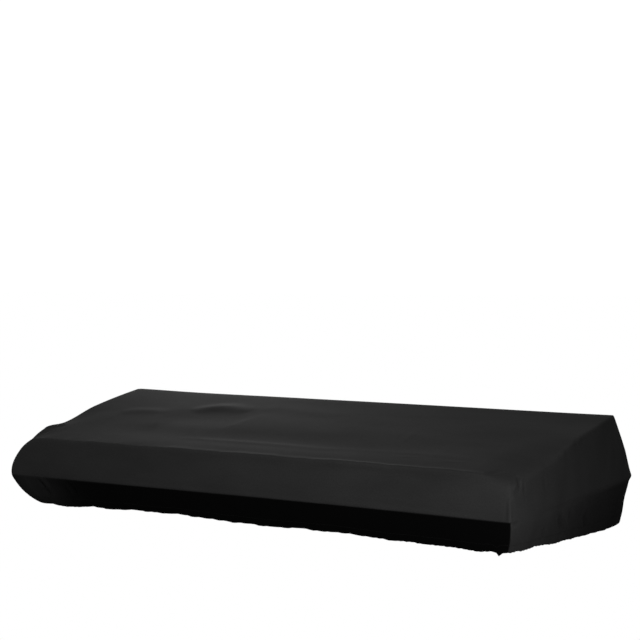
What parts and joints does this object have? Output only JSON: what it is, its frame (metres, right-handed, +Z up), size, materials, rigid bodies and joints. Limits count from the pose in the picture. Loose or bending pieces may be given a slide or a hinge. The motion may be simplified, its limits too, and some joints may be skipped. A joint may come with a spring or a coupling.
{
  "type": "fitted piano cover",
  "caption": "Black stretch-knit fitted cover for a stage piano: a hollow, wedge-shaped cloth, open below, with corner darts and a gathered hem drawn in underneath.",
  "frame": {"origin": "below the middle of the cover's bounding box, level with the lowest point of the hem", "axes": "+X along the length, towards the end that the picture shows nearest; +Y from the front to the higher back; +Z up"},
  "size_m": [1.1281, 0.4499, 0.2015],
  "materials": {
    "stretch_knit": "matt brushed stretch knit, black"
  },
  "bodies": {
    "root": {"cover_cloth": "stretch_knit"}
  },
  "joints": []
}
